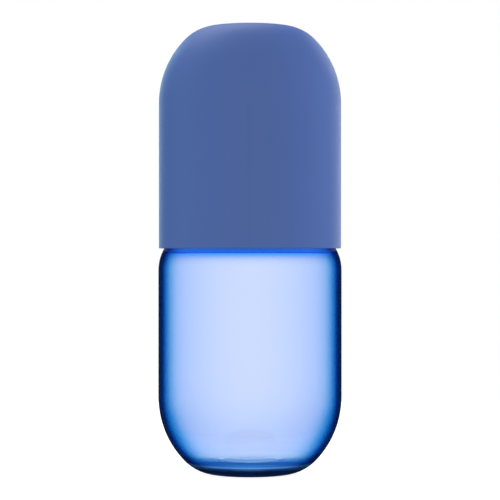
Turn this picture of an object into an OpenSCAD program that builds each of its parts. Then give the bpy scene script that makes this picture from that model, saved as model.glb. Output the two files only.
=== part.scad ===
// Capsule bottle with a cup for its top.
// A glass bottle with a thick rounded base, a push-in stopper in its neck, and a moulded
// drinking cup that stands upside down over the neck with its rim on the glass shoulder.
// Every piece is a turned form on the Z axis. Z = 0 is the surface the bottle stands on.

/* [Glass bottle] */
// Outside diameter of the glass body
body_d = 85.2; // [80:0.2:90]
// Thickness of the glass wall and of the neck
glass_wall = 2.8; // [2:0.1:3.6]
// Length of the straight side, from the rounded base to the shoulder
body_straight_h = 58.9; // [40:0.1:80]
// Radius of the shoulder
shoulder_r = 20; // [18:0.5:22]
// Thickness of the glass at the middle of the base
floor_t = 6.4; // [5:0.1:8]
// Radius between the floor and the wall, inside the bottle
floor_corner_r = 13; // [11:0.5:16]
// Rise of the hollow under the base
punt_rise = 2.4; // [1:0.1:3]
// Width of the flat ring that the bottle stands on
bearing_w = 3; // [2:0.1:5]

/* [Neck and mouth] */
// Outside diameter of the neck
neck_d = 37.4; // [34:0.2:42]
// Radius of the hollow sweep from the shoulder to the neck
neck_sweep_r = 10; // [8:0.5:14]
// Height of the neck above its sweep, to the top of the lip
neck_h = 18; // [15:0.5:26]
// Radius of the rolled lip
lip_r = 2.3; // [1.8:0.1:2.8]

/* [Rounded ends] */
// Distance from the flat of each end to the middle of its round
end_h = 36; // [34.5:0.1:37.5]
// Radius between the round of each end and its flat
end_corner_r = 21; // [18:0.5:24]

/* [Drinking cup] */
// Height of the cup from its rim to its foot
cup_h = 103.5; // [90:0.5:130]
// Thickness of the cup's wall
cup_wall = 2.4; // [1.8:0.1:3]
// How far the cup's side stands in from the side of the glass
cup_set_in = 0.2; // [0:0.1:0.6]
// Radius on both edges of the rim
rim_round_r = 0.6; // [0.3:0.1:0.8]
// Width of the ring that the cup stands on when it is in use
foot_ring_w = 3; // [2:0.1:5]
// Depth of the hollow inside that ring
foot_dish = 0.8; // [0.4:0.1:1.2]
// Diameter of the moulding gate's dimple, in the middle of the hollow
gate_d = 3.2; // [2:0.2:6]
// Depth of that dimple
gate_depth = 0.3; // [0.2:0.1:0.5]

/* [Stopper] */
// Length of the plug below the top of the lip
plug_h = 22; // [20:0.5:30]
// Thickness of the hard flange over the lip
flange_t = 3; // [2:0.1:5]
// Radius on the flange's outer edge
flange_round_r = 1; // [0.5:0.1:1]
// Thickness of the seal's sleeve, and of its washer between the lip and the flange
seal_t = 1.4; // [1:0.1:2]
// How far each sealing lip stands out of the sleeve
seal_lip_w = 1.35; // [0.8:0.05:1.8]
// Height of a sealing lip where it leaves the sleeve
seal_lip_h = 2.6; // [1.8:0.1:3]
// Number of sealing lips
seal_lips = 3; // [2:1:4]
// Height of the ring that holds the sleeve on, at the plug's end
retainer_h = 1.8; // [1:0.1:2.5]
// How far that ring stands out of the plug
retainer_w = 0.8; // [0.4:0.1:1]
// Thickness of the plug's hollow shell
plug_wall = 2; // [1.5:0.1:3]
// Diameter of the spigot that carries the knob
spigot_d = 13; // [10:0.5:15]
// Height of the spigot
spigot_h = 8; // [6:0.5:9]

/* [Knob] */
// Diameter of the knob
knob_d = 29; // [26:0.5:34]
// Height of the knob
knob_h = 14; // [13:0.5:20]
// Radius of the finger groove around the knob
groove_r = 4.2; // [3:0.1:4.5]
// Depth of the finger groove
groove_depth = 2.6; // [1:0.1:2.8]
// Height of the groove's middle above the flange
groove_h = 5.2; // [5:0.1:6]
// Radius on the knob's top edge
knob_round_r = 3; // [1:0.1:3.5]

/* [Fits] */
// Gap between the cup's rim and the shoulder it seats on
cup_seat_gap = 0.3; // [0.2:0.05:0.6]
// Gap between the stopper's washer and the lip it seats on
stopper_seat_gap = 0.2; // [0.15:0.05:0.5]
// Gap between the sealing lips and the neck's bore
seal_gap = 0.15; // [0.1:0.05:0.3]
// Gap between the spigot's end and the bottom of the knob's socket
socket_end_gap = 0.2; // [0.1:0.1:0.5]

/* [Hidden] */
$fn = 160;
// Longest turn of an arc piece, in degrees
PIECE_TURN = 30;

glass_colour = [0.47, 0.67, 0.96, 0.45];
cup_colour = [0.30, 0.40, 0.62];
plug_colour = [0.26, 0.35, 0.55];
seal_colour = [0.86, 0.90, 0.95];

// Glass body, from the axis outwards and from the base upwards
body_r = body_d / 2;
body_in_r = body_r - glass_wall;
base_foot_r = foot_radius(body_r, end_h, end_corner_r);
base_turn = asin((end_h - end_corner_r) / (body_r - end_corner_r));
floor_foot_r = foot_radius(body_in_r, end_h - floor_t, floor_corner_r);
floor_turn = asin((end_h - floor_t - floor_corner_r) / (body_in_r - floor_corner_r));
punt_r = base_foot_r - bearing_w;
punt_ball_r = ball_radius(punt_r, punt_rise);
shoulder_x = body_r - shoulder_r;
shoulder_z = end_h + body_straight_h;

// Neck: its sweep touches the shoulder and the side of the neck
neck_r = neck_d / 2;
bore_r = neck_r - glass_wall;
sweep_x = neck_r + neck_sweep_r;
sweep_turn = acos((sweep_x - shoulder_x) / (shoulder_r + neck_sweep_r));
sweep_z = shoulder_z + (shoulder_r + neck_sweep_r) * sin(sweep_turn);
mouth_z = sweep_z + neck_h;
lip_x = bore_r + lip_r;
lip_z = mouth_z - lip_r;
lip_out_r = lip_x + lip_r;
lip_turn = acos((neck_r - lip_x) / lip_r);

// Cup: the round on its inner edge stands one seat gap off the shoulder
cup_r = body_r - cup_set_in;
cup_in_r = cup_r - cup_wall;
rim_z = shoulder_z - rim_round_r + sqrt(pow(shoulder_r + rim_round_r + cup_seat_gap, 2)
    - pow(cup_in_r + rim_round_r - shoulder_x, 2));
crown_z = rim_z + cup_h;
crown_mid_z = crown_z - end_h;
crown_foot_r = foot_radius(cup_r, end_h, end_corner_r);
crown_turn = asin((end_h - end_corner_r) / (cup_r - end_corner_r));
dish_r = crown_foot_r - foot_ring_w;
dish_ball_r = ball_radius(dish_r, foot_dish);

// Stopper: sized from the bore outside in, and hung from the lip
plug_r = bore_r - seal_gap - seal_lip_w - seal_t;
sleeve_r = plug_r + seal_t;
seal_lip_r = sleeve_r + seal_lip_w;
plug_z = mouth_z - plug_h;
sleeve_z = plug_z + retainer_h;
washer_z = mouth_z + stopper_seat_gap;
flange_z = washer_z + seal_t;
knob_z = flange_z + flange_t;
seal_lip_pitch = (mouth_z - sleeve_z - seal_lip_h) / seal_lips;
knob_r = knob_d / 2;
groove_x = knob_r - groove_depth + groove_r;
groove_turn = acos((groove_r - groove_depth) / groove_r);
knob_top_z = knob_z + knob_h;
socket_top_z = knob_z + spigot_h + socket_end_gap;

// Radius of the flat left at an end, where a round of radius r meets it through a corner radius
function foot_radius(r, h, corner_r) = sqrt(pow(r - corner_r, 2) - pow(h - corner_r, 2));

// Radius of the ball that cuts a hollow of a given rim radius and depth
function ball_radius(rim_r, depth) = (rim_r * rim_r + depth * depth) / (2 * depth);

// A section is a list of steps that runs anticlockwise round the material, in [radius, height].
// A step is a corner [x, z], or an arc [[x, z], radius, start angle, end angle].
function is_arc(step) = len(step) == 4;
function on_circle(arc, angle) = arc[0] + arc[1] * [cos(angle), sin(angle)];

// The arcs of a section, in pieces short enough for their chords to keep clear of each other
function arc_pieces(steps) = [
    for (s = steps) if (is_arc(s))
        let (count = ceil(abs(s[3] - s[2]) / PIECE_TURN), turn = (s[3] - s[2]) / count)
            for (i = [0:count - 1]) [s[0], s[1], s[2] + i * turn, s[2] + (i + 1) * turn]
];

// The corners of a section, with the ends of its arc pieces and each point only once
function section_points(steps) =
    let (
        all = [for (s = steps) each is_arc(s)
            ? [for (a = arc_pieces([s])) each [on_circle(a, a[2]), on_circle(a, a[3])]]
            : [s]],
        last = len(all) - 1
    )
    [for (i = [0:last]) if (norm(all[i] - all[i == 0 ? last : i - 1]) > 0.001) all[i]];

// The slice of a disc between its chord and its arc
module disc_slice(arc) {
    reach = 1.1 / cos((arc[3] - arc[2]) / 2);
    wide = [arc[0], arc[1] * reach, arc[2], arc[3]];
    intersection() {
        translate(arc[0]) circle(r = arc[1]);
        polygon([on_circle(arc, arc[2]), on_circle(wide, arc[2]),
            on_circle(wide, arc[3]), on_circle(arc, arc[3])]);
    }
}

// A turned solid: arcs that run anticlockwise swell the section, and the others hollow it
module turned(steps) {
    arcs = arc_pieces(steps);
    rotate_extrude() difference() {
        union() {
            polygon(section_points(steps));
            for (a = arcs) if (a[3] > a[2]) disc_slice(a);
        }
        for (a = arcs) if (a[3] < a[2]) disc_slice(a);
    }
}

// Blown and pressed glass: thick base, one even wall, swept neck and rolled lip
module glass_bottle() {
    color(glass_colour) turned([
        [[0, punt_rise - punt_ball_r], punt_ball_r, 90, acos(punt_r / punt_ball_r)],
        [[base_foot_r, end_corner_r], end_corner_r, -90, -base_turn],
        [[0, end_h], body_r, -base_turn, 0],
        [[shoulder_x, shoulder_z], shoulder_r, 0, sweep_turn],
        [[sweep_x, sweep_z], neck_sweep_r, 180 + sweep_turn, 180],
        [[lip_x, lip_z], lip_r, -lip_turn, 180],
        [[sweep_x, sweep_z], neck_sweep_r + glass_wall, 180, 180 + sweep_turn],
        [[shoulder_x, shoulder_z], shoulder_r - glass_wall, sweep_turn, 0],
        [[0, end_h], body_in_r, 0, -floor_turn],
        [[floor_foot_r, floor_t + floor_corner_r], floor_corner_r, -floor_turn, -90],
        [0, floor_t]
    ]);
}

// Moulded cup, upside down: one even wall, a rounded rim and a dished foot
module drinking_cup() {
    color(cup_colour) difference() {
        turned([
            [[cup_in_r + rim_round_r, rim_z + rim_round_r], rim_round_r, 180, 270],
            [[cup_r - rim_round_r, rim_z + rim_round_r], rim_round_r, 270, 360],
            [[0, crown_mid_z], cup_r, 0, crown_turn],
            [[crown_foot_r, crown_z - end_corner_r], end_corner_r, crown_turn, 90],
            [[0, crown_z - foot_dish + dish_ball_r], dish_ball_r,
                270 + asin(dish_r / dish_ball_r), 270],
            [0, crown_z - cup_wall],
            [[crown_foot_r, crown_z - end_corner_r], end_corner_r - cup_wall, 90, crown_turn],
            [[0, crown_mid_z], cup_in_r, crown_turn, 0]
        ]);
        translate([0, 0, crown_z - foot_dish - gate_depth])
            cylinder(d = gate_d, h = gate_depth + foot_dish);
    }
}

// Hard plug: a hollow shell with a retaining ring, a flange over the lip and a spigot on top
module stopper_plug() {
    color(plug_colour) turned([
        [plug_r - plug_wall, plug_z],
        [plug_r + retainer_w, plug_z],
        [plug_r + retainer_w, sleeve_z],
        [plug_r, sleeve_z],
        [plug_r, flange_z],
        [lip_out_r, flange_z],
        [[lip_out_r - flange_round_r, knob_z - flange_round_r], flange_round_r, 0, 90],
        [spigot_d / 2, knob_z],
        [spigot_d / 2, knob_z + spigot_h],
        [0, knob_z + spigot_h],
        [0, knob_z - plug_wall],
        [plug_r - plug_wall, knob_z - plug_wall]
    ]);
}

// Soft seal: a sleeve with sealing lips and a washer that lies on the glass
module stopper_seal() {
    color(seal_colour) turned(concat(
        [[plug_r, sleeve_z], [sleeve_r, sleeve_z]],
        [for (i = [0:seal_lips - 1]) each let (z = sleeve_z + (i + 0.35) * seal_lip_pitch) [
            [sleeve_r, z],
            [seal_lip_r, z + seal_lip_h * 0.5],
            [seal_lip_r, z + seal_lip_h * 0.8],
            [sleeve_r, z + seal_lip_h]
        ]],
        [
            [sleeve_r, washer_z],
            [[lip_out_r - seal_t / 2, washer_z + seal_t / 2], seal_t / 2, -90, 90],
            [plug_r, flange_z]
        ]
    ));
}

// Knob: pressed on the spigot, with a groove for the fingers
module stopper_knob() {
    color(cup_colour) turned([
        [spigot_d / 2, knob_z],
        [knob_r, knob_z],
        [[groove_x, knob_z + groove_h], groove_r, 180 + groove_turn, 180 - groove_turn],
        [[knob_r - knob_round_r, knob_top_z - knob_round_r], knob_round_r, 0, 90],
        [0, knob_top_z],
        [0, socket_top_z],
        [spigot_d / 2, socket_top_z]
    ]);
}

glass_bottle();
drinking_cup();
stopper_plug();
stopper_seal();
stopper_knob();
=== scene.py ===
"""Capsule bottle with a drinking cup for its top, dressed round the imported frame.

The glass body, the cup and the three pieces of the stopper are turned forms. Each is built
here as a fine lathe mesh in the place of its CAD node, and gets its own finish. Lengths are
in metres, and Z = 0 is the surface that the bottle stands on.
"""

import logging
import math
from collections.abc import Iterable, Mapping, Sequence
from dataclasses import dataclass
from enum import Enum

import bmesh
import bpy
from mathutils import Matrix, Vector

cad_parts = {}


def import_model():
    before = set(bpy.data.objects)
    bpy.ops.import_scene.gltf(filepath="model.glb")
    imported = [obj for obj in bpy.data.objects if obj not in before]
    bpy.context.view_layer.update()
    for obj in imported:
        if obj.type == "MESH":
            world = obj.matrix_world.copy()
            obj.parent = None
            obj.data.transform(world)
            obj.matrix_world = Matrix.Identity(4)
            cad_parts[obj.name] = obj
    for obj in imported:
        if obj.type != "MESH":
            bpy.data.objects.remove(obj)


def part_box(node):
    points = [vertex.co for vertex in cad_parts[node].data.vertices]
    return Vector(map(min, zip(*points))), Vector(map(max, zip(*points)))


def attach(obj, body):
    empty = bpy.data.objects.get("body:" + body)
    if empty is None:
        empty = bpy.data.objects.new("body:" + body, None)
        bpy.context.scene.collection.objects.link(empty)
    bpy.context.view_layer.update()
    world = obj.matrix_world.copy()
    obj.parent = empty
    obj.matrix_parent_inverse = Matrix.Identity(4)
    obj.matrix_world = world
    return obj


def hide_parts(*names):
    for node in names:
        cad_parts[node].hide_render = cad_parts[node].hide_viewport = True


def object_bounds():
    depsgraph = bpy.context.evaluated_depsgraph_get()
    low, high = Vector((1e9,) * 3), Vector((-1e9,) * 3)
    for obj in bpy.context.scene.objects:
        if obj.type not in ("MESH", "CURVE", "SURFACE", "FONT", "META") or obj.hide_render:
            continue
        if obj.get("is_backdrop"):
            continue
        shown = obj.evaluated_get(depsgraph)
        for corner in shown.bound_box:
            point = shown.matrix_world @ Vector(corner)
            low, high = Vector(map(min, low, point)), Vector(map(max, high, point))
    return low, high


log = logging.getLogger("capsule_bottle")

Point = tuple[float, float]
Span = tuple[float, float]
Colour = tuple[float, float, float]
Stops = tuple[tuple[float, Colour], ...]
Socket = bpy.types.NodeSocket
# What an input of a node can be fed: another node's output, or a plain value
Number = Socket | float
Paint = Socket | Colour
Fed = Number | Paint

MM = 0.001
OUTER_SKIN = "outer_skin"
TOUCHING = 1e-7
NODE_SPACING = 220
WHITE = (1.0, 1.0, 1.0)
BLACK = (0.0, 0.0, 0.0)


def new_object(name: str, data: bpy.types.ID) -> bpy.types.Object:
    """Puts a mesh, a lamp or a camera in the scene.

    Args:
        name: Name of the new object.
        data: What the object holds.

    Returns:
        The new object.
    """
    made = bpy.data.objects.new(name, data)
    bpy.context.scene.collection.objects.link(made)
    return made


# ------------------------------------------------------------------ turned sections


@dataclass(frozen=True)
class Arc:
    """An arc of a section, in the plane of radius and height.

    Args:
        centre: Radius and height of the arc's centre.
        radius: Radius of the arc.
        start: Angle of its first point, in degrees.
        end: Angle of its last point, in degrees.
    """

    centre: Point
    radius: float
    start: float
    end: float

    def at(self, angle: float) -> Point:
        """The point of the arc's circle at an angle in degrees."""
        turn = math.radians(angle)
        return (
            self.centre[0] + self.radius * math.cos(turn),
            self.centre[1] + self.radius * math.sin(turn),
        )

    def points(self, step: float, turn: float) -> list[Point]:
        """Points along the arc.

        Args:
            step: Longest distance between two points.
            turn: Largest angle between two points, in degrees.

        Returns:
            The points, both ends included.
        """
        sweep = self.end - self.start
        length = math.radians(abs(sweep)) * self.radius
        count = max(2, math.ceil(length / step), math.ceil(abs(sweep) / turn))
        return [self.at(self.start + sweep * i / count) for i in range(count + 1)]


Step = Arc | Point


@dataclass(frozen=True)
class Lathe:
    """Turns a section about the Z axis into a closed mesh.

    Args:
        segments: Number of steps round the axis.
        step: Longest stretch of a section between two rings.
        turn: Largest turn of an arc between two rings, in degrees.
        crease: Corners sharper than this stay crisp, in degrees.
    """

    segments: int = 192
    step: float = 2.4 * MM
    turn: float = 6.0
    crease: float = 32.0

    def outline(self, steps: Sequence[Step]) -> list[tuple[float, float, int]]:
        """The rings of a section.

        Args:
            steps: Corners and arcs that run anticlockwise round the material.

        Returns:
            Radius and height of each ring, each one once, with the number of its step.
        """
        corners: list[tuple[Point, int]] = []
        for number, item in enumerate(steps):
            run = item.points(self.step, self.turn) if isinstance(item, Arc) else [item]
            corners.extend((point, number) for point in run)
        rings: list[tuple[float, float, int]] = []
        for (here, number), (after, _) in zip(corners, corners[1:] + corners[:1]):
            gap = math.dist(here, after)
            if gap < TOUCHING:
                continue
            along_axis = max(here[0], after[0]) < TOUCHING
            count = 1 if along_axis else math.ceil(gap / self.step)
            for i in range(count):
                radius, height = (a + (b - a) * i / count for a, b in zip(here, after))
                rings.append((radius, height, number))
        return rings

    def build(self, name: str, steps: Sequence[Step], outside: int) -> bpy.types.Object:
        """Makes the turned piece.

        Args:
            name: Name of the new object.
            steps: Corners and arcs that run anticlockwise round the material.
            outside: How many of the steps, from the first on, make the outer skin.

        Returns:
            The new object, linked to the scene.
        """
        work = bmesh.new()
        skin = work.verts.layers.float.new(OUTER_SKIN)
        loops = []
        for radius, height, number in self.outline(steps):
            loop = self._ring(work, radius, height)
            for vertex in loop:
                vertex[skin] = float(number < outside)
            loops.append(loop)
        for lower, upper in zip(loops, loops[1:] + loops[:1]):
            self._band(work, lower, upper)
        bmesh.ops.recalc_face_normals(work, faces=work.faces)
        limit = math.radians(self.crease)
        for face in work.faces:
            face.smooth = True
        for edge in work.edges:
            edge.smooth = len(edge.link_faces) == 2 and edge.calc_face_angle(0.0) < limit
        mesh = bpy.data.meshes.new(name)
        work.to_mesh(mesh)
        work.free()
        return new_object(name, mesh)

    def _ring(self, work: bmesh.types.BMesh, radius: float, height: float) -> list:
        """Makes the vertices of one ring.

        Args:
            work: The mesh while it is being built.
            radius: Radius of the ring.
            height: Height of the ring.

        Returns:
            The vertices, or a single one where the ring is on the axis.
        """
        if radius < TOUCHING:
            return [work.verts.new((0.0, 0.0, height))]
        turns = (math.tau * i / self.segments for i in range(self.segments))
        return [
            work.verts.new((radius * math.cos(t), radius * math.sin(t), height)) for t in turns
        ]

    def _band(self, work: bmesh.types.BMesh, lower: list, upper: list) -> None:
        """Makes the faces between two rings.

        Args:
            work: The mesh while it is being built.
            lower: Vertices of the first ring.
            upper: Vertices of the next ring.
        """
        if len(lower) == 1 and len(upper) == 1:
            return
        for i in range(self.segments):
            j = (i + 1) % self.segments
            if len(lower) == 1:
                work.faces.new((lower[0], upper[i], upper[j]))
            elif len(upper) == 1:
                work.faces.new((lower[i], lower[j], upper[0]))
            else:
                work.faces.new((lower[i], lower[j], upper[j], upper[i]))


# ------------------------------------------------------------------ shader graphs


class Graph:
    """A node tree while it is being wired."""

    def __init__(self, tree: bpy.types.NodeTree) -> None:
        """Starts from an empty tree.

        Args:
            tree: The tree to fill.
        """
        self.tree = tree
        self.tree.nodes.clear()

    def feed(self, socket: Socket, value: Fed) -> None:
        """Gives an input its value.

        Args:
            socket: The input.
            value: The output to link to it, or a plain number, vector or colour.
        """
        if isinstance(value, Socket):
            self.tree.links.new(value, socket)
        elif socket.type == "RGBA":
            socket.default_value = (*value, 1.0)
        else:
            socket.default_value = value

    def add(
        self, kind: str, inputs: Mapping[str, Fed] | None = None, **settings: object
    ) -> bpy.types.Node:
        """Adds a node.

        Args:
            kind: Blender's name for the node's type.
            inputs: What its inputs are fed, by name.
            **settings: Properties of the node.

        Returns:
            The new node.
        """
        node = self.tree.nodes.new(kind)
        for key, value in settings.items():
            setattr(node, key, value)
        for name, value in (inputs or {}).items():
            self.feed(node.inputs[name], value)
        node.location = (NODE_SPACING * len(self.tree.nodes), 0)
        return node

    def place(self) -> Socket:
        """Where each point of the surface is, in the piece's own frame."""
        return self.add("ShaderNodeTexCoord").outputs["Object"]

    def length(self, vector: Socket) -> Socket:
        """The length of a vector."""
        node = self.add("ShaderNodeVectorMath", {"Vector": vector}, operation="LENGTH")
        return node.outputs["Value"]

    def calculate(self, operation: str, first: Number, second: Number) -> Socket:
        """A sum, product or other plain operation on two values.

        Args:
            operation: Blender's name for the operation.
            first: The value that comes first.
            second: The value that comes second.

        Returns:
            The result's socket.
        """
        node = self.add("ShaderNodeMath", operation=operation)
        for socket, value in zip(node.inputs, (first, second)):
            self.feed(socket, value)
        return node.outputs[0]

    def times(self, first: Number, second: Number) -> Socket:
        """The product of two values."""
        return self.calculate("MULTIPLY", first, second)

    def spread(self, value: Socket, low: Number, high: Number, soft: bool = False) -> Socket:
        """A value brought to 0 at low and 1 at high.

        Args:
            value: The value's socket.
            low: Where the result is 0.
            high: Where the result is 1.
            soft: Whether it eases in and out between them.

        Returns:
            The result's socket.
        """
        easing = "SMOOTHSTEP" if soft else "LINEAR"
        inputs = {"Value": value, "From Min": low, "From Max": high}
        return self.add("ShaderNodeMapRange", inputs, interpolation_type=easing).outputs[0]

    def noise(self, place: Socket, scale: Number, detail: float) -> Socket:
        """A noise texture's value.

        Args:
            place: Where on the surface it is read.
            scale: Number of its waves in a metre.
            detail: Number of its finer layers.

        Returns:
            The value's socket.
        """
        inputs = {"Vector": place, "Scale": scale, "Detail": detail}
        return self.add("ShaderNodeTexNoise", inputs).outputs["Fac"]

    def ramp(self, factor: Socket, stops: Iterable[tuple[float, Colour]]) -> Socket:
        """A colour ramp.

        Args:
            factor: The socket that drives it.
            stops: Place and colour of each stop, in order.

        Returns:
            The colour's socket.
        """
        node = self.add("ShaderNodeValToRGB")
        node.color_ramp.interpolation = "LINEAR"
        elements = node.color_ramp.elements
        for i, (place, colour) in enumerate(stops):
            stop = elements[i] if i < len(elements) else elements.new(place)
            stop.position = place
            stop.color = (*colour, 1.0)
        self.feed(node.inputs[0], factor)
        return node.outputs[0]

    def mix(self, factor: Number, low: Paint, high: Paint, blend: str = "MIX") -> Socket:
        """A blend of two colours.

        Args:
            factor: Share of the second colour.
            low: First colour.
            high: Second colour.
            blend: Blender's name for the way they mix.

        Returns:
            The colour's socket.
        """
        node = self.add("ShaderNodeMix", data_type="RGBA", blend_type=blend)
        named = {"Factor": factor, "A": low, "B": high}
        for socket in (s for s in node.inputs if s.enabled):
            self.feed(socket, named[socket.name])
        return next(s for s in node.outputs if s.enabled)


class MaterialGraph(Graph):
    """The node tree of a new material."""

    def __init__(self, name: str) -> None:
        """Starts the material.

        Args:
            name: Name of the material.
        """
        self.material = bpy.data.materials.new(name)
        self.material.use_nodes = True
        super().__init__(self.material.node_tree)

    def cover(
        self, looks: Mapping[str, Fed], inside: Socket | None = None
    ) -> bpy.types.Material:
        """Gives the material its surface, and what fills it.

        Args:
            looks: What the surface shader's inputs are fed, by name.
            inside: The shader of the volume, where there is one.

        Returns:
            The finished material.
        """
        shader = self.add("ShaderNodeBsdfPrincipled", looks)
        output = self.add("ShaderNodeOutputMaterial", {"Surface": shader.outputs[0]})
        if inside is not None:
            self.feed(output.inputs["Volume"], inside)
        return self.material


class Effect(Enum):
    """The surface effects that several finishes share."""

    MOULD_GRAIN = "mould_grain"
    HANDLING = "handling"


class Effects:
    """Builds each shared effect once, as a shader node group."""

    def group(self, effect: Effect) -> bpy.types.NodeTree:
        """Finds the node group of an effect, or makes it the first time.

        Args:
            effect: The effect that is wanted.

        Returns:
            Its node group.
        """
        makers = {
            Effect.MOULD_GRAIN: self._mould_grain,
            Effect.HANDLING: self._handling,
        }
        return bpy.data.node_groups.get(effect.value) or makers[effect]()

    def place(
        self, graph: Graph, effect: Effect, inputs: Mapping[str, float] | None = None
    ) -> dict[str, Socket]:
        """Puts an effect in a material.

        Args:
            graph: The material's graph.
            effect: The effect to put there.
            inputs: Values by name for the inputs that don't keep their first one.

        Returns:
            Its outputs by name.
        """
        fed = {"Place": graph.place(), **(inputs or {})}
        node = graph.add("ShaderNodeGroup", fed, node_tree=self.group(effect))
        return {s.name: s for s in node.outputs}

    def _open(self, effect: Effect, inputs: Mapping[str, float], outputs: Sequence[str]) -> Graph:
        """Starts a group with its sockets.

        Args:
            effect: The effect that the group makes.
            inputs: Its number sockets, with their first values.
            outputs: Its output sockets, all of them numbers.

        Returns:
            The graph of the group.
        """
        tree = bpy.data.node_groups.new(effect.value, "ShaderNodeTree")
        sockets = tree.interface
        sockets.new_socket("Place", in_out="INPUT", socket_type="NodeSocketVector")
        for name, value in inputs.items():
            made = sockets.new_socket(name, in_out="INPUT", socket_type="NodeSocketFloat")
            made.default_value = value
        for name in outputs:
            sockets.new_socket(name, in_out="OUTPUT", socket_type="NodeSocketFloat")
        return Graph(tree)

    def _mould_grain(self) -> bpy.types.NodeTree:
        """Fine grain that a blasted mould leaves, and the slow mottle of the plastic's flow.

        Returns:
            The node group.
        """
        graph = self._open(
            Effect.MOULD_GRAIN, {"Grains": 2600.0, "Flow": 22.0}, ("Height", "Mottle")
        )
        given = graph.add("NodeGroupInput").outputs
        fine = graph.noise(given["Place"], given["Grains"], detail=2.0)
        coarse = graph.noise(given["Place"], given["Flow"], detail=3.0)
        graph.add("NodeGroupOutput", {"Height": fine, "Mottle": coarse})
        return graph.tree

    def _handling(self) -> bpy.types.NodeTree:
        """Faint smears where hands and cloths have rubbed, drawn out round the piece.

        Returns:
            The node group.
        """
        first_values = {"Smears": 45.0, "Stretch": 5.0, "Cover": 0.5, "Softness": 0.25}
        graph = self._open(Effect.HANDLING, first_values, ("Mask",))
        given = graph.add("NodeGroupInput").outputs
        split = graph.add("ShaderNodeSeparateXYZ", {"Vector": given["Place"]}).outputs
        tall = graph.times(split["Z"], given["Stretch"])
        drawn = graph.add("ShaderNodeCombineXYZ", {"X": split["X"], "Y": split["Y"], "Z": tall})
        smear = graph.noise(drawn.outputs["Vector"], given["Smears"], detail=4.0)
        full = graph.calculate("ADD", given["Cover"], given["Softness"])
        mask = graph.spread(smear, given["Cover"], full, soft=True)
        graph.add("NodeGroupOutput", {"Mask": mask})
        return graph.tree


# ------------------------------------------------------------------ finishes


@dataclass(frozen=True)
class MouldedPlastic:
    """Moulded plastic or silicone with a blasted grain.

    Args:
        name: Name of the material.
        slot: The record's material slot. Not used.
        colour: Its colour.
        shade: The colour where the flow is densest.
        roughness: Roughness of the clean surface.
        grains: Grains in a metre.
        grain_depth: Depth of the grain, in metres.
        polish: How much less rough it is where it has been rubbed.
        sheen: Weight of the soft-touch bloom at glancing angles.
        sheen_roughness: Roughness of that bloom.
        sheen_tint: Colour of that bloom.
        clearness: Share of light that goes through the surface layer.
        clear_depth: How deep that light goes, in metres.
    """

    name: str
    slot: str
    colour: Colour
    shade: Colour
    roughness: float
    grains: float
    grain_depth: float
    polish: float = 0.05
    sheen: float = 0.0
    sheen_roughness: float = 0.15
    sheen_tint: Colour = (0.55, 0.68, 1.0)
    clearness: float = 0.0
    clear_depth: float = 1.5 * MM

    def build(self, effects: Effects) -> bpy.types.Material:
        """Makes the material.

        Args:
            effects: The shared effects.

        Returns:
            The new material.
        """
        graph = MaterialGraph(self.name)
        grain = effects.place(graph, Effect.MOULD_GRAIN, {"Grains": self.grains})
        smears = effects.place(graph, Effect.HANDLING)
        rubbed = graph.times(smears["Mask"], -self.polish)
        bump = graph.add(
            "ShaderNodeBump",
            {"Strength": 1.0, "Distance": self.grain_depth, "Height": grain["Height"]},
        )
        looks = {
            "Base Color": graph.mix(grain["Mottle"], self.colour, self.shade),
            "Roughness": graph.calculate("ADD", rubbed, self.roughness),
            "Normal": bump.outputs["Normal"],
            "Sheen Weight": self.sheen,
            "Sheen Roughness": self.sheen_roughness,
            "Sheen Tint": self.sheen_tint,
            "Subsurface Weight": self.clearness,
            "Subsurface Radius": (1.0, 1.0, 1.0),
            "Subsurface Scale": self.clear_depth,
        }
        return graph.cover(looks)


CUP_PLASTIC = MouldedPlastic(
    name="matt_blue_plastic",
    slot="cup_plastic",
    colour=(0.068, 0.138, 0.410),
    shade=(0.062, 0.128, 0.390),
    roughness=0.52,
    grains=2600.0,
    grain_depth=0.02 * MM,
    sheen=0.25,
)
PLUG_PLASTIC = MouldedPlastic(
    name="dark_blue_plastic",
    slot="plug_plastic",
    colour=(0.050, 0.095, 0.260),
    shade=(0.043, 0.085, 0.240),
    roughness=0.38,
    grains=3200.0,
    grain_depth=0.01 * MM,
)
SEAL_SILICONE = MouldedPlastic(
    name="pale_silicone",
    slot="seal_silicone",
    colour=(0.66, 0.73, 0.84),
    shade=(0.60, 0.68, 0.80),
    roughness=0.45,
    grains=1800.0,
    grain_depth=0.015 * MM,
    clearness=0.6,
)


@dataclass(frozen=True)
class Sight:
    """What the colours of the glass follow, as sockets of its graph.

    Args:
        height: Height above the table, in metres.
        away: Distance from the axis, in metres.
        edge_on: From facing at 0 to edge on at 1.
        on_skin: 1 on the outer skin, and 0 on the inside of the bottle.
        from_outside: 1 where the ray comes from the air, and 0 from within the glass.
    """

    height: Socket
    away: Socket
    edge_on: Socket
    on_skin: Socket
    from_outside: Socket

    @classmethod
    def of(cls, graph: Graph) -> "Sight":
        """Adds the nodes that read the surface.

        Args:
            graph: The material's graph.

        Returns:
            Their sockets.
        """
        split = graph.add("ShaderNodeSeparateXYZ", {"Vector": graph.place()}).outputs
        flat = graph.add("ShaderNodeCombineXYZ", {"X": split["X"], "Y": split["Y"]})
        within = graph.add("ShaderNodeNewGeometry").outputs["Backfacing"]
        return cls(
            height=split["Z"],
            away=graph.length(flat.outputs["Vector"]),
            edge_on=graph.add("ShaderNodeLayerWeight", {"Blend": 0.5}).outputs["Facing"],
            on_skin=graph.add("ShaderNodeAttribute", attribute_name=OUTER_SKIN).outputs["Fac"],
            from_outside=graph.spread(within, 1.0, 0.0),
        )


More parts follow.
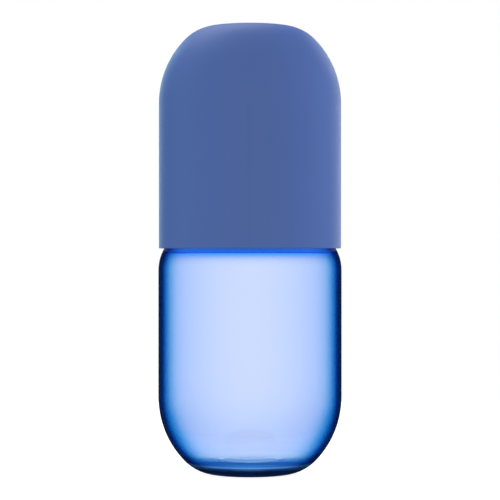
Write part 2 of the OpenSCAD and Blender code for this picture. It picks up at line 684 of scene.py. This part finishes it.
@dataclass(frozen=True)
class TintedGlass:
    """Clear glass, tinted through its thickness, with a surface tint that darkens it edge on,
    partly painted shade, and painted shade and painted glow by height.

    Heights are above the table, and facing runs from 0, full face, to 1, edge on.

    Args:
        name: Name of the material.
        slot: The record's material slot. Not used.
        body_colour: What the glass lets through best.
        density: Strength of the tint, per metre.
        index: Refractive index.
        face_tint: Tint of the outer skin full face.
        loss: How fast each colour is lost as the skin turns away.
        edge_loss_and_shade: How fast it is lost close to edge on, where the way through is
            longest, with painted shade for the dark edge.
        edge_power: How suddenly that loss sets in.
        edge_tint_and_shade: The least that is left of each colour, near black edge on, partly
            painted shade.
        edge_facing: Facing where the tint stops changing.
        tint_steps: Number of steps in which it changes.
        deeper_stops: Further darkening by facing, low on the body.
        deeper_by_height: How much of that darkening there is, by height, fullest from 18 to 28
            mm.
        foot: Heights between which the skin's tint starts, above the clear underside.
        shoulder_shade_stops: Further tint by height: painted shade under the cup's rim, and a
            deeper tint up the neck.
        heel_shade_stops: Painted shade by height, near black at the rounded corner that it stands
            on.
        heel: Distances from the axis between which that painted shade starts.
        floor_shade_stops: Painted shade by height, a darker band where the floor of the bore
            shows.
        floor_facing: Facing between which that painted shade starts.
        painted_glow_stops: Painted light by height, a glow that the shoulder gives out under the
            cup's rim.
        painted_glow_facing: Facing between which that painted light starts.
        painted_foot_glow_stops: Painted light by height, a bright streak that the foot gives out.
        painted_foot_glow_facing: Facing between which that painted light starts.
        painted_base_glow: Painted light given out where a ray has turned round inside the glass,
            as in the thick base.
        glow_after_turns: How many turns inside the glass a ray takes before that painted light
            starts.
        smear_cover: Level of the noise at which a smear starts.
        smear_roughness: Roughness of a full smear, on glass that is smooth elsewhere.
    """

    name: str = "tinted_glass"
    slot: str = "blue_glass"
    body_colour: Colour = (0.02, 0.47, 0.75)
    density: float = 51.0
    index: float = 1.5
    face_tint: Colour = (0.63, 0.65, 0.90)
    loss: Colour = (1.45, 0.85, 0.3)
    # Partly painted shade: the loss close to edge on also stands in for the dark edge that the
    # surroundings give.
    edge_loss_and_shade: Colour = (180.0, 64.0, 31.0)
    edge_power: float = 6.5
    edge_tint_and_shade: Colour = (0.0, 0.0005, 0.008)
    edge_facing: float = 0.8
    tint_steps: int = 24
    deeper_stops: Stops = (
        (0.00, (0.92, 0.96, 0.95)),
        (0.25, (0.84, 0.87, 0.95)),
        (0.36, (0.68, 0.80, 0.93)),
        (0.43, (0.48, 0.71, 0.87)),
        (0.49, (0.22, 0.61, 0.83)),
        (0.55, (0.09, 0.64, 0.81)),
        (0.62, (0.15, 0.68, 0.72)),
        (0.75, WHITE),
    )
    deeper_by_height: tuple[tuple[float, float], ...] = (
        (12.0 * MM, 0.0),
        (14.5 * MM, 0.6),
        (18.0 * MM, 1.0),
        (28.0 * MM, 1.0),
        (36.0 * MM, 0.35),
        (45.0 * MM, 0.0),
    )
    foot: Span = (1.0 * MM, 6.0 * MM)
    # Painted shade under the cup's rim, easing to a deeper tint up the neck.
    shoulder_shade_stops: Stops = (
        (97.5 * MM, WHITE),
        (99.7 * MM, (0.93, 0.96, 0.97)),
        (101.5 * MM, (0.80, 0.85, 0.95)),
        (103.0 * MM, (0.31, 0.67, 1.0)),
        (104.0 * MM, (0.22, 0.55, 0.95)),
        (110.0 * MM, (0.60, 0.78, 0.97)),
    )
    # Painted shade: near black low down, where it stands on the floor.
    heel_shade_stops: Stops = (
        (0.0, (0.0002, 0.001, 0.006)),
        (3.2 * MM, (0.0001, 0.001, 0.005)),
        (4.2 * MM, (0.005, 0.02, 0.05)),
        (5.2 * MM, (0.20, 0.30, 0.40)),
        (6.2 * MM, WHITE),
    )
    heel: Span = (13.0 * MM, 17.0 * MM)
    # Painted shade: a darker band where the floor of the bore shows.
    floor_shade_stops: Stops = (
        (8.2 * MM, WHITE),
        (8.8 * MM, (0.18, 0.38, 0.62)),
        (9.7 * MM, (0.16, 0.36, 0.60)),
        (10.1 * MM, WHITE),
    )
    floor_facing: Span = (0.50, 0.36)
    # Painted light: the shoulder glows under the cup's rim.
    painted_glow_stops: Stops = (
        (102.2 * MM, BLACK),
        (103.9 * MM, (0.008, 0.066, 0.25)),
        (105.2 * MM, (0.008, 0.060, 0.22)),
        (107.0 * MM, BLACK),
    )
    painted_glow_facing: Span = (0.70, 0.42)
    # Painted light: a bright streak low on the foot.
    painted_foot_glow_stops: Stops = (
        (4.8 * MM, BLACK),
        (5.3 * MM, (0.090, 0.160, 0.280)),
        (5.7 * MM, (0.030, 0.070, 0.150)),
        (6.1 * MM, BLACK),
    )
    painted_foot_glow_facing: Span = (0.66, 0.52)
    painted_base_glow: Colour = (0.24, 0.36, 0.42)
    glow_after_turns: float = 2.5
    smear_cover: float = 0.58
    smear_roughness: float = 0.012

    def build(self, effects: Effects) -> bpy.types.Material:
        """Makes the material.

        Args:
            effects: The shared effects.

        Returns:
            The new material.
        """
        graph = MaterialGraph(self.name)
        sight = Sight.of(graph)
        smears = effects.place(graph, Effect.HANDLING, {"Cover": self.smear_cover})
        absorb = graph.add(
            "ShaderNodeVolumeAbsorption", {"Color": self.body_colour, "Density": self.density}
        )
        looks = {
            "Base Color": self._tint_and_shade(graph, sight),
            "Roughness": graph.times(smears["Mask"], self.smear_roughness),
            "IOR": self.index,
            "Transmission Weight": 1.0,
            "Emission Color": self._painted_glow(graph, sight),
            "Emission Strength": 1.0,
        }
        return graph.cover(looks, inside=absorb.outputs["Volume"])

    def _skin_tint_and_shade(self) -> Stops:
        """The tint of the outer skin, as light is lost along the way through it, with painted
        shade close to edge on.

        Returns:
            The tint by facing.
        """
        colours = tuple(zip(self.face_tint, self.loss, self.edge_loss_and_shade, self.edge_tint_and_shade))
        stops = []
        for step in range(self.tint_steps + 1):
            facing = self.edge_facing * step / self.tint_steps
            tint = tuple(
                max(least, full * math.exp(-loss * facing - edge_loss_and_shade * facing**self.edge_power))
                for full, loss, edge_loss_and_shade, least in colours
            )
            stops.append((facing, tint))
        return tuple(stops)

    def _by_height(self, graph: Graph, sight: Sight, stops: Stops) -> Socket:
        """A colour that changes with height.

        Args:
            graph: The material's graph.
            sight: What the colours follow.
            stops: Height and colour of each stop, in order.

        Returns:
            The colour's socket.
        """
        low, high = stops[0][0], stops[-1][0]
        shares = [((place - low) / (high - low), colour) for place, colour in stops]
        return graph.ramp(graph.spread(sight.height, low, high), shares)

    def _tint_and_shade(self, graph: Graph, sight: Sight) -> Socket:
        """The surface tint: edge on it deepens, partly as painted shade, and at the foot it
        starts; painted shade at the shoulder, the heel and the floor of the bore.

        Args:
            graph: The material's graph.
            sight: What the colours follow.

        Returns:
            The colour's socket.
        """
        greys = tuple((place, (share,) * 3) for place, share in self.deeper_by_height)
        edge = graph.mix(
            self._by_height(graph, sight, greys),
            graph.ramp(sight.edge_on, self._skin_tint_and_shade()),
            graph.ramp(sight.edge_on, self.deeper_stops),
            blend="MULTIPLY",
        )
        tinted = graph.times(sight.on_skin, graph.spread(sight.height, *self.foot))
        at_heel = graph.times(sight.from_outside, graph.spread(sight.away, *self.heel))
        near_skin = graph.times(sight.on_skin, sight.from_outside)
        at_floor = graph.times(near_skin, graph.spread(sight.edge_on, *self.floor_facing))
        tint = graph.mix(tinted, WHITE, edge)
        # Painted shade under the cup's rim, at the heel and across the floor of the bore.
        for share, stops in (
            (1.0, self.shoulder_shade_stops),
            (at_heel, self.heel_shade_stops),
            (at_floor, self.floor_shade_stops),
        ):
            further = self._by_height(graph, sight, stops)
            tint = graph.mix(share, tint, further, blend="MULTIPLY")
        return tint

    def _painted_glow(self, graph: Graph, sight: Sight) -> Socket:
        """Painted light: the glow that the glass gives out as emission, under the cup's rim, at
        the foot and after many turns inside it.

        Args:
            graph: The material's graph.
            sight: What the colours follow.

        Returns:
            The colour's socket.
        """
        shoulder_glow = self._by_height(graph, sight, self.painted_glow_stops)
        at_shoulder = graph.spread(sight.edge_on, *self.painted_glow_facing)
        low_down = graph.spread(sight.edge_on, *self.painted_foot_glow_facing)
        at_foot = graph.times(sight.from_outside, low_down)
        glow = graph.mix(
            at_foot,
            graph.mix(at_shoulder, BLACK, shoulder_glow),
            self._by_height(graph, sight, self.painted_foot_glow_stops),
            blend="ADD",
        )
        path = graph.add("ShaderNodeLightPath").outputs
        # Painted light once a ray has turned round inside the glass.
        many_turns = graph.calculate("GREATER_THAN", path["Glossy Depth"], self.glow_after_turns)
        return graph.mix(many_turns, glow, self.painted_base_glow)


@dataclass(frozen=True)
class StudioPaper:
    """Pale paper that takes the shadow near the object and is plain white light beyond.

    Args:
        near_glow: Its own light under the object.
        far_glow: Its own light where it meets the white behind.
        near: Distance from the axis where the paper starts to give way.
        far: Distance from the axis where only the light is left.
        name: Name of the material.
        colour: Colour of the paper.
        roughness: Roughness of the paper.
    """

    near_glow: float = 0.92
    far_glow: float = 1.35
    near: float = 0.05
    far: float = 0.16
    name: str = "studio_paper"
    colour: Colour = (0.50, 0.50, 0.51)
    roughness: float = 0.9

    def build(self) -> bpy.types.Material:
        """Makes the material.

        Returns:
            The new material.
        """
        graph = MaterialGraph(self.name)
        share = graph.spread(graph.length(graph.place()), self.near, self.far)
        glow = graph.times(share, self.far_glow - self.near_glow)
        looks = {
            "Base Color": graph.mix(share, self.colour, BLACK),
            "Roughness": self.roughness,
            "Specular IOR Level": 0.0,
            "Emission Color": WHITE,
            "Emission Strength": graph.calculate("ADD", glow, self.near_glow),
        }
        return graph.cover(looks)


# ------------------------------------------------------------------ the workshop


@dataclass(frozen=True)
class Workshop:
    """Turns each piece, dresses it and puts it in its place.

    Args:
        lathe: The lathe that turns it.
        effects: The effects that its finish can use.
    """

    lathe: Lathe = Lathe()
    effects: Effects = Effects()

    def make(
        self,
        name: str,
        steps: Sequence[Step],
        finish: MouldedPlastic | TintedGlass,
        outside: int | None = None,
    ) -> bpy.types.Object:
        """Turns a piece and dresses it.

        Args:
            name: Name of the piece.
            steps: Corners and arcs that run anticlockwise round the material.
            finish: What it is made of.
            outside: How many of the first steps make the outer skin, where not all do.

        Returns:
            The new piece.
        """
        piece = self.lathe.build(name, steps, len(steps) if outside is None else outside)
        material = bpy.data.materials.get(finish.name) or finish.build(self.effects)
        piece.data.materials.append(material)
        return piece

    def install(self, piece: bpy.types.Object, node: str, body: str) -> None:
        """Puts a piece in the place of its CAD node, on its body.

        Args:
            piece: The piece that shows.
            node: The CAD node that it stands for.
            body: The body that it moves with.
        """
        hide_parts(node)
        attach(piece, body)


# ------------------------------------------------------------------ the object


def ball_radius(rim: float, depth: float) -> float:
    """Radius of the ball that cuts a hollow of a given rim radius and depth."""
    return (rim * rim + depth * depth) / (2 * depth)


@dataclass(frozen=True)
class RoundedEnd:
    """A round that closes an end, with a flat across it.

    The sizes that it starts with are those of the base and the crown.

    Args:
        height: Distance from the middle of the round to the flat.
        corner: Radius between the round and the flat.
    """

    height: float = 36.0 * MM
    corner: float = 21.0 * MM

    def foot(self, radius: float) -> float:
        """Radius of the flat, on a round of a given radius."""
        return math.sqrt((radius - self.corner) ** 2 - (self.height - self.corner) ** 2)

    def turn(self, radius: float) -> float:
        """Angle of the round's last point from its middle, in degrees."""
        return math.degrees(math.asin((self.height - self.corner) / (radius - self.corner)))


@dataclass(frozen=True)
class GlassBottle:
    """The glass body, with its thick base, swept neck and rolled lip.

    Args:
        body_radius: Outside radius of the body.
        mouth_height: Height of the top of the lip.
        finish: What it is made of.
        end: The round of its base.
        wall: Thickness of the wall and the neck.
        straight: Length of the straight side.
        shoulder: Radius of the shoulder.
        floor: Thickness of the glass at the middle of the base.
        floor_corner: Radius between the floor and the wall, inside.
        punt_rise: Rise of the hollow under the base.
        bearing: Width of the ring that it stands on.
        neck_radius: Outside radius of the neck.
        sweep: Radius of the hollow sweep from the shoulder to the neck.
        lip: Radius of the rolled lip.
    """

    body_radius: float
    mouth_height: float
    finish: TintedGlass = TintedGlass()
    end: RoundedEnd = RoundedEnd()
    wall: float = 2.8 * MM
    straight: float = 58.9 * MM
    shoulder: float = 20.0 * MM
    floor: float = 6.4 * MM
    floor_corner: float = 13.0 * MM
    punt_rise: float = 2.4 * MM
    bearing: float = 3.0 * MM
    neck_radius: float = 18.7 * MM
    sweep: float = 10.0 * MM
    lip: float = 2.3 * MM

    @property
    def bore(self) -> float:
        """Radius of the neck's bore."""
        return self.neck_radius - self.wall

    def section(self) -> tuple[list[Step], list[Step]]:
        """The section of the glass.

        Returns:
            Its outside, from the punt up to the lip, and its inside, down to the floor.
        """
        outer, inner = self.body_radius, self.body_radius - self.wall
        foot, turn = self.end.foot(outer), self.end.turn(outer)
        floor_end = RoundedEnd(self.end.height - self.floor, self.floor_corner)
        floor_corner_at = (floor_end.foot(inner), self.floor + self.floor_corner)
        floor_turn = floor_end.turn(inner)
        punt = foot - self.bearing
        punt_ball = ball_radius(punt, self.punt_rise)
        punt_turn = math.degrees(math.acos(punt / punt_ball))
        shoulder_at = (outer - self.shoulder, self.end.height + self.straight)
        reach = self.shoulder + self.sweep
        sweep_x = self.neck_radius + self.sweep
        sweep_turn = math.degrees(math.acos((sweep_x - shoulder_at[0]) / reach))
        sweep_at = (sweep_x, shoulder_at[1] + reach * math.sin(math.radians(sweep_turn)))
        lip_at = (self.bore + self.lip, self.mouth_height - self.lip)
        lip_turn = math.degrees(math.acos((self.neck_radius - lip_at[0]) / self.lip))
        middle = (0.0, self.end.height)
        outside = [
            Arc((0.0, self.punt_rise - punt_ball), punt_ball, 90.0, punt_turn),
            Arc((foot, self.end.corner), self.end.corner, -90.0, -turn),
            Arc(middle, outer, -turn, 0.0),
            Arc(shoulder_at, self.shoulder, 0.0, sweep_turn),
            Arc(sweep_at, self.sweep, 180.0 + sweep_turn, 180.0),
            Arc(lip_at, self.lip, -lip_turn, 180.0),
        ]
        inside = [
            Arc(sweep_at, self.sweep + self.wall, 180.0, 180.0 + sweep_turn),
            Arc(shoulder_at, self.shoulder - self.wall, sweep_turn, 0.0),
            Arc(middle, inner, 0.0, -floor_turn),
            Arc(floor_corner_at, self.floor_corner, -floor_turn, -90.0),
            (0.0, self.floor),
        ]
        return outside, inside

    def build(self, shop: Workshop) -> bpy.types.Object:
        """Makes the glass.

        Args:
            shop: The workshop that it is made in.

        Returns:
            The new piece.
        """
        outside, inside = self.section()
        steps = outside + inside
        piece = shop.make("bottle_glass", steps, self.finish, outside=len(outside))
        shop.install(piece, "glass_bottle", "bottle")
        return piece


@dataclass(frozen=True)
class DrinkingCup:
    """The moulded cup that stands upside down over the neck.

    Args:
        radius: Outside radius of its side.
        rim_height: Height of its rim above the table.
        crown_height: Height of its foot, which is uppermost.
        finish: What it is made of.
        end: The round of its crown.
        wall: Thickness of the wall.
        rim_round: Radius on both edges of the rim.
        foot_ring: Width of the ring that it stands on in use.
        dish: Depth of the hollow inside that ring.
        gate_radius: Radius of the moulding gate's dimple.
        gate_depth: Depth of that dimple.
    """

    radius: float
    rim_height: float
    crown_height: float
    finish: MouldedPlastic = CUP_PLASTIC
    end: RoundedEnd = RoundedEnd()
    wall: float = 2.4 * MM
    rim_round: float = 0.6 * MM
    foot_ring: float = 3.0 * MM
    dish: float = 0.8 * MM
    gate_radius: float = 1.6 * MM
    gate_depth: float = 0.3 * MM

    def section(self) -> list[Step]:
        """The section of the cup.

        Returns:
            Its steps, from the rim up outside and down inside.
        """
        outer, inner = self.radius, self.radius - self.wall
        foot, turn = self.end.foot(outer), self.end.turn(outer)
        corner_at = (foot, self.crown_height - self.end.corner)
        middle = (0.0, self.crown_height - self.end.height)
        rim = self.rim_round
        dish_rim = foot - self.foot_ring
        dish_ball = ball_radius(dish_rim, self.dish)
        dish_at = (0.0, self.crown_height - self.dish + dish_ball)
        dish_turn = math.degrees(math.asin(dish_rim / dish_ball))
        gate_turn = math.degrees(math.asin(self.gate_radius / dish_ball))
        gate_floor = self.crown_height - self.dish - self.gate_depth
        return [
            Arc((inner + rim, self.rim_height + rim), rim, 180.0, 270.0),
            Arc((outer - rim, self.rim_height + rim), rim, 270.0, 360.0),
            Arc(middle, outer, 0.0, turn),
            Arc(corner_at, self.end.corner, turn, 90.0),
            Arc(dish_at, dish_ball, 270.0 + dish_turn, 270.0 + gate_turn),
            (self.gate_radius, gate_floor),
            (0.0, gate_floor),
            (0.0, self.crown_height - self.wall),
            Arc(corner_at, self.end.corner - self.wall, 90.0, turn),
            Arc(middle, inner, turn, 0.0),
        ]

    def build(self, shop: Workshop) -> bpy.types.Object:
        """Makes the cup.

        Args:
            shop: The workshop that it is made in.

        Returns:
            The new piece.
        """
        piece = shop.make("cup_shell", self.section(), self.finish)
        shop.install(piece, "drinking_cup", "cup")
        return piece


@dataclass(frozen=True)
class Stopper:
    """The push-in stopper: a hard plug, a soft seal round it and a knob on top.

    Args:
        low: Lowest point of the plug.
        knob_low: Height of the flange's top, where the knob stands.
        knob_high: Height of the knob's top.
        flange_radius: Outside radius of the flange and of the washer.
        bore: Radius of the bore that the stopper fits.
        knob_radius: Outside radius of the knob.
        hard: What the plug is made of.
        soft: What the seal is made of.
        grip: What the knob is made of.
        plug_wall: Thickness of the plug's hollow shell.
        flange: Thickness of the flange.
        flange_round: Radius on the flange's edge.
        retainer: Height of the ring that holds the sleeve on.
        retainer_out: How far that ring stands out.
        seal: Thickness of the sleeve and of the washer.
        lips: Number of sealing lips.
        lip_out: How far a sealing lip stands out of the sleeve.
        lip_height: Height of a sealing lip at its root.
        lip_start: Where a sealing lip starts, as a share of the step between two.
        lip_tip: Where its tip starts and ends, as shares of its height.
        seat_gap: Gap between the washer and the glass.
        bore_gap: Gap between the sealing lips and the bore.
        spigot_radius: Radius of the spigot in the knob.
        spigot: Height of the spigot.
        socket_gap: Gap over the spigot's end.
        groove: Radius of the finger groove.
        groove_depth: Depth of the finger groove.
        groove_height: Height of the groove's middle above the flange.
        knob_round: Radius on the knob's top edge.
    """

    low: float
    knob_low: float
    knob_high: float
    flange_radius: float
    bore: float
    knob_radius: float
    hard: MouldedPlastic = PLUG_PLASTIC
    soft: MouldedPlastic = SEAL_SILICONE
    grip: MouldedPlastic = CUP_PLASTIC
    plug_wall: float = 2.0 * MM
    flange: float = 3.0 * MM
    flange_round: float = 1.0 * MM
    retainer: float = 1.8 * MM
    retainer_out: float = 0.8 * MM
    seal: float = 1.4 * MM
    lips: int = 3
    lip_out: float = 1.35 * MM
    lip_height: float = 2.6 * MM
    lip_start: float = 0.35
    lip_tip: Span = (0.5, 0.8)
    seat_gap: float = 0.2 * MM
    bore_gap: float = 0.15 * MM
    spigot_radius: float = 6.5 * MM
    spigot: float = 8.0 * MM
    socket_gap: float = 0.2 * MM
    groove: float = 4.2 * MM
    groove_depth: float = 2.6 * MM
    groove_height: float = 5.2 * MM
    knob_round: float = 3.0 * MM

    @property
    def plug_radius(self) -> float:
        """Outside radius of the plug, inside the sleeve."""
        return self.bore - self.bore_gap - self.lip_out - self.seal

    @property
    def flange_low(self) -> float:
        """Height of the flange's underside."""
        return self.knob_low - self.flange

    @property
    def washer_low(self) -> float:
        """Height of the washer's underside."""
        return self.flange_low - self.seal

    def plug_section(self) -> list[Step]:
        """The section of the hard plug.

        Returns:
            Its steps, up outside from its open end and down inside.
        """
        inside = self.plug_radius - self.plug_wall
        ring = self.plug_radius + self.retainer_out
        roof = self.knob_low - self.plug_wall
        edge = (self.flange_radius - self.flange_round, self.knob_low - self.flange_round)
        return [
            (inside, self.low),
            (ring, self.low),
            (ring, self.low + self.retainer),
            (self.plug_radius, self.low + self.retainer),
            (self.plug_radius, self.flange_low),
            (self.flange_radius, self.flange_low),
            Arc(edge, self.flange_round, 0.0, 90.0),
            (self.spigot_radius, self.knob_low),
            (self.spigot_radius, self.knob_low + self.spigot),
            (0.0, self.knob_low + self.spigot),
            (0.0, roof),
            (inside, roof),
        ]

    def seal_section(self) -> list[Step]:
        """The section of the soft seal, with its lips and its washer.

        Returns:
            Its steps, up outside from the foot of the sleeve.
        """
        sleeve_low = self.low + self.retainer
        sleeve = self.plug_radius + self.seal
        tip = sleeve + self.lip_out
        mouth = self.washer_low - self.seat_gap
        pitch = (mouth - sleeve_low - self.lip_height) / self.lips
        steps: list[Step] = [(self.plug_radius, sleeve_low), (sleeve, sleeve_low)]
        for i in range(self.lips):
            root = sleeve_low + (i + self.lip_start) * pitch
            tips = [(tip, root + self.lip_height * share) for share in self.lip_tip]
            steps += [(sleeve, root), *tips, (sleeve, root + self.lip_height)]
        half = self.seal / 2
        steps += [
            (sleeve, self.washer_low),
            Arc((self.flange_radius - half, self.washer_low + half), half, -90.0, 90.0),
            (self.plug_radius, self.flange_low),
        ]
        return steps

    def knob_section(self) -> list[Step]:
        """The section of the knob, with its finger groove and its socket.

        Returns:
            Its steps, up outside from the flange and down to the socket.
        """
        groove_at = (
            self.knob_radius - self.groove_depth + self.groove,
            self.knob_low + self.groove_height,
        )
        half = math.degrees(math.acos((self.groove - self.groove_depth) / self.groove))
        edge = (self.knob_radius - self.knob_round, self.knob_high - self.knob_round)
        roof = self.knob_low + self.spigot + self.socket_gap
        return [
            (self.spigot_radius, self.knob_low),
            (self.knob_radius, self.knob_low),
            Arc(groove_at, self.groove, 180.0 + half, 180.0 - half),
            Arc(edge, self.knob_round, 0.0, 90.0),
            (0.0, self.knob_high),
            (0.0, roof),
            (self.spigot_radius, roof),
        ]

    def build(self, shop: Workshop) -> list[bpy.types.Object]:
        """Makes the three pieces.

        Args:
            shop: The workshop that they are made in.

        Returns:
            The new pieces.
        """
        made = []
        for name, node, steps, finish in (
            ("plug_core", "stopper_plug", self.plug_section(), self.hard),
            ("plug_sleeve", "stopper_seal", self.seal_section(), self.soft),
            ("plug_grip", "stopper_knob", self.knob_section(), self.grip),
        ):
            piece = shop.make(name, steps, finish)
            shop.install(piece, node, "stopper")
            made.append(piece)
        return made


# ------------------------------------------------------------------ the studio


@dataclass(frozen=True)
class SoftBox:
    """A soft lamp that faces the object.

    Args:
        name: Name of the lamp.
        at: Where it stands.
        size: Its width and height.
        power: Its power in watts.
        colour: Colour of its light.
        shines: Whether it shines in glossy surfaces.
    """

    name: str
    at: tuple[float, float, float]
    size: tuple[float, float]
    power: float
    colour: Colour = WHITE
    shines: bool = False

    def build(self, target: Vector, lit: bpy.types.Collection) -> None:
        """Makes the lamp, which leaves no square in the glass.

        Args:
            target: The point that it faces.
            lit: The only pieces that it lights, if it shines.
        """
        data = bpy.data.lights.new(self.name, "AREA")
        data.shape = "RECTANGLE"
        data.size, data.size_y = self.size
        data.energy = self.power
        data.color = self.colour
        lamp = new_object(self.name, data)
        lamp.location = self.at
        lamp.rotation_euler = (target - Vector(self.at)).to_track_quat("-Z", "Y").to_euler()
        lamp.visible_camera = False
        lamp.visible_transmission = False
        lamp.visible_glossy = self.shines
        if self.shines:
            lamp.light_linking.receiver_collection = lit


@dataclass(frozen=True)
class Studio:
    """A pale floor, soft light and the camera.

    Args:
        subject_height: Height of the object.
        camera_distance: Distance from the camera to the object's axis.
        view_height: Height of the view at the axis.
        sensor: Width of the camera's sensor, in millimetres.
        floor_half: Half the side of the floor.
        seen_light: Brightness of the white behind the object.
        through_light: Brightness of what the glass shows.
        fill_light: Brightness of what lights matt surfaces.
        shine_light: Brightness of what glossy surfaces reflect.
        boxes: The soft lamps.
    """

    subject_height: float
    camera_distance: float = 1.05
    view_height: float = 0.2328
    sensor: float = 36.0
    floor_half: float = 0.5
    seen_light: float = 1.0
    through_light: float = 1.35
    fill_light: float = 0.78
    shine_light: float = 0.008
    boxes: tuple[SoftBox, ...] = (
        SoftBox("top_box", at=(-0.2, 0.7, 1.15), size=(0.8, 0.6), power=8.0),
        SoftBox("crown_box", at=(-0.3, 0.6, 1.1), size=(0.9, 0.7), power=3.4, shines=True),
        SoftBox("left_box", at=(-1.4, 0.1, 0.2), size=(0.6, 1.2), power=3.5,
                colour=(0.38, 0.95, 1.0)),
        SoftBox("right_box", at=(1.3, 0.3, 0.3), size=(0.6, 1.2), power=9.0,
                colour=(0.9, 0.98, 1.0)),
        SoftBox("front_box", at=(0.0, -1.7, 0.3), size=(1.6, 1.2), power=3.4),
        SoftBox("edge_box", at=(0.55, 0.95, 0.15), size=(0.5, 1.2), power=3.5, shines=True),
        SoftBox("rim_box", at=(-0.5, 1.05, 0.15), size=(0.3, 1.2), power=2.8,
                colour=(0.6, 1.0, 1.0), shines=True),
    )

    def build(self, matt: Iterable[bpy.types.Object]) -> None:
        """Makes the camera, the floor, the surroundings and the lamps.

        Args:
            matt: The pieces that are not glass, the only ones that the lamps that shine light.
        """
        self._camera()
        self._floor()
        self._surroundings()
        lit = bpy.data.collections.new("matt_pieces")
        for piece in matt:
            lit.objects.link(piece)
        for box in self.boxes:
            box.build(Vector((0.0, 0.0, self.subject_height / 2)), lit)
        bpy.context.scene.view_settings.view_transform = "Standard"

    def _camera(self) -> None:
        """A long lens, level with the middle of the object."""
        data = bpy.data.cameras.new("studio_camera")
        data.sensor_width = self.sensor
        data.lens = self.sensor * self.camera_distance / self.view_height
        camera = new_object("studio_camera", data)
        camera.location = (0.0, -self.camera_distance, self.subject_height / 2)
        camera.rotation_euler = (math.radians(90.0), 0.0, 0.0)
        bpy.context.scene.camera = camera

    def _floor(self) -> None:
        """A plain sheet under the object, which fades into the white round it."""
        mesh = bpy.data.meshes.new("studio_floor")
        half = self.floor_half
        corners = [(-half, -half, 0), (half, -half, 0), (half, half, 0), (-half, half, 0)]
        mesh.from_pydata(corners, [], [(0, 1, 2, 3)])
        mesh.materials.append(StudioPaper().build())
        floor = new_object("studio_floor", mesh)
        floor.visible_glossy = False
        floor.visible_diffuse = False
        floor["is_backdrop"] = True

    def _surroundings(self) -> None:
        """White behind the object, with its own brightness for each kind of surface."""
        world = bpy.data.worlds.new("studio")
        world.use_nodes = True
        graph = Graph(world.node_tree)
        path = graph.add("ShaderNodeLightPath").outputs
        level: Number = self.fill_light
        for ray, light in (
            ("Is Glossy Ray", self.shine_light),
            ("Is Transmission Ray", self.through_light),
            ("Is Camera Ray", self.seen_light),
        ):
            inputs = {"Factor": path[ray], "A": level, "B": light}
            level = graph.add("ShaderNodeMix", inputs, data_type="FLOAT").outputs["Result"]
        sky = graph.add("ShaderNodeBackground", {"Color": WHITE, "Strength": level})
        graph.add("ShaderNodeOutputWorld", {"Surface": sky.outputs[0]})
        bpy.context.scene.world = world


# ------------------------------------------------------------------ putting it together


def main() -> None:
    """Loads the frame, builds each piece in its place and notes the sizes."""
    logging.basicConfig(level=logging.INFO, format="%(message)s")
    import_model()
    cad_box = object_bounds()
    low, high = cad_box
    glass_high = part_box("glass_bottle")[1]
    cup_low, cup_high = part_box("drinking_cup")
    plug_low, plug_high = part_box("stopper_plug")
    knob_low, knob_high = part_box("stopper_knob")

    shop = Workshop()
    bottle = GlassBottle(body_radius=glass_high.x, mouth_height=glass_high.z)
    cup = DrinkingCup(radius=cup_high.x, rim_height=cup_low.z, crown_height=cup_high.z)
    stopper = Stopper(
        low=plug_low.z,
        knob_low=knob_low.z,
        knob_high=knob_high.z,
        flange_radius=plug_high.x,
        bore=bottle.bore,
        knob_radius=knob_high.x,
    )
    glass = bottle.build(shop)
    matt = [cup.build(shop), *stopper.build(shop)]
    for piece in (glass, *matt):
        log.info("%s has %d faces", piece.name, len(piece.data.polygons))

    Studio(subject_height=high.z - low.z).build(matt)


if __name__ == "__main__":
    main()
